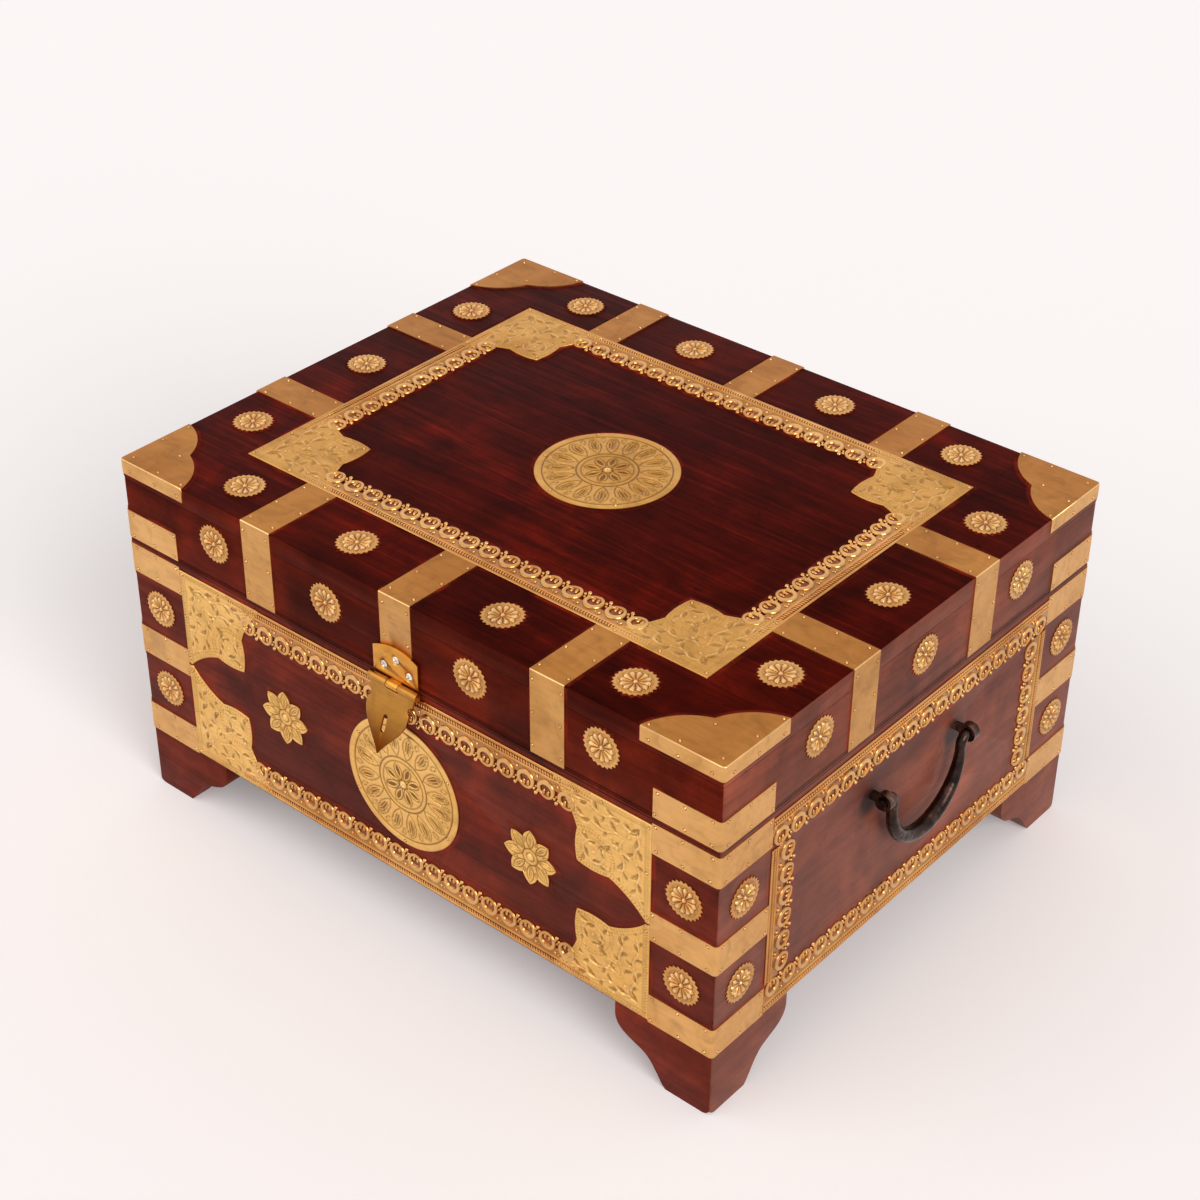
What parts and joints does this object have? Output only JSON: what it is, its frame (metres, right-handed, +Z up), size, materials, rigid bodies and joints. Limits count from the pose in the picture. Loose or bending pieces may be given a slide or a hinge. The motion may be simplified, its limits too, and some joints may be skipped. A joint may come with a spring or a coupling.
{
  "type": "wooden storage box",
  "caption": "Hinged keepsake box of dark stained wood on bracket feet, with brass straps, embossed borders, a hasp and two drop handles.",
  "frame": {"origin": "on the ground, under the middle of the whole part; the box itself is centred 5.6 mm behind it, since the hasp flap stands out further than the hinges", "axes": "+X along the long front, to the right when facing the hasp; the hasp faces -Y; +Z is up"},
  "size_m": [0.4062, 0.3222, 0.2044],
  "materials": {
    "stained_wood": "satin stained hardwood, red-brown",
    "lid_wood": "semi-gloss dark red-brown stained hardwood",
    "sheet_brass": "plain satin sheet brass",
    "embossed_brass": "embossed sheet brass with darker hollows",
    "hardware_brass": "polished brass hardware",
    "screw_steel": "bright screw heads",
    "dark_iron": "dark antiqued iron"
  },
  "bodies": {
    "box": {"front_board": "stained_wood", "back_board": "stained_wood", "left_board": "stained_wood", "right_board": "stained_wood", "bottom_board": "stained_wood", "front_left_foot_front": "stained_wood", "front_left_foot_side": "stained_wood", "front_right_foot_front": "stained_wood", "front_right_foot_side": "stained_wood", "back_left_foot_back": "stained_wood", "back_left_foot_side": "stained_wood", "back_right_foot_back": "stained_wood", "back_right_foot_side": "stained_wood", "low_corner_strips": "sheet_brass", "middle_corner_strips": "sheet_brass", "top_corner_strips": "sheet_brass", "front_borders": "embossed_brass", "front_embossed_corners": "embossed_brass", "front_medallion": "embossed_brass", "front_stars": "embossed_brass", "front_body_rosettes": "embossed_brass", "left_borders": "embossed_brass", "right_borders": "embossed_brass", "left_body_rosettes": "embossed_brass", "right_body_rosettes": "embossed_brass", "hasp_staple": "hardware_brass", "left_hinge_body_leaf": "hardware_brass", "right_hinge_body_leaf": "hardware_brass", "left_hinge_pin": "hardware_brass", "right_hinge_pin": "hardware_brass", "hinge_body_screws": "screw_steel", "left_handle_eyes": "dark_iron", "right_handle_eyes": "dark_iron"},
    "lid": {"lid_top_board": "lid_wood", "lid_front_rail": "lid_wood", "lid_back_rail": "lid_wood", "lid_left_rail": "lid_wood", "lid_right_rail": "lid_wood", "lid_front_straps": "sheet_brass", "lid_back_straps": "sheet_brass", "lid_left_straps": "sheet_brass", "lid_right_straps": "sheet_brass", "lid_corner_plates": "sheet_brass", "lid_corner_strips": "sheet_brass", "lid_embossed_corners": "embossed_brass", "lid_long_borders": "embossed_brass", "lid_short_borders": "embossed_brass", "lid_medallion": "embossed_brass", "lid_top_rosettes": "embossed_brass", "lid_side_rosettes": "embossed_brass", "left_hinge_lid_leaf": "hardware_brass", "right_hinge_lid_leaf": "hardware_brass", "hinge_lid_screws": "screw_steel", "hasp_plate": "hardware_brass", "hasp_pin": "hardware_brass", "hasp_screws": "screw_steel"},
    "flap": {"hasp_flap": "hardware_brass"},
    "left_handle": {"left_bail": "dark_iron"},
    "right_handle": {"right_bail": "dark_iron"}
  },
  "joints": [
    {"name": "lid_hinge", "type": "hinge", "parent": "box", "child": "lid", "pos_m": [0, 0.15851, 0.1575], "axis": [-1, 0, 0], "range_deg": [0, 175]},
    {"name": "hasp_hinge", "type": "hinge", "parent": "lid", "child": "flap", "pos_m": [0, -0.14759, 0.156], "axis": [-1, 0, 0], "range_deg": [-22, 148]},
    {"name": "left_handle_hinge", "type": "hinge", "parent": "box", "child": "left_handle", "pos_m": [-0.1985, 0.00561, 0.12], "axis": [0, 1, 0], "range_deg": [-4, 172]},
    {"name": "right_handle_hinge", "type": "hinge", "parent": "box", "child": "right_handle", "pos_m": [0.1985, 0.00561, 0.12], "axis": [0, -1, 0], "range_deg": [-4, 172]}
  ]
}
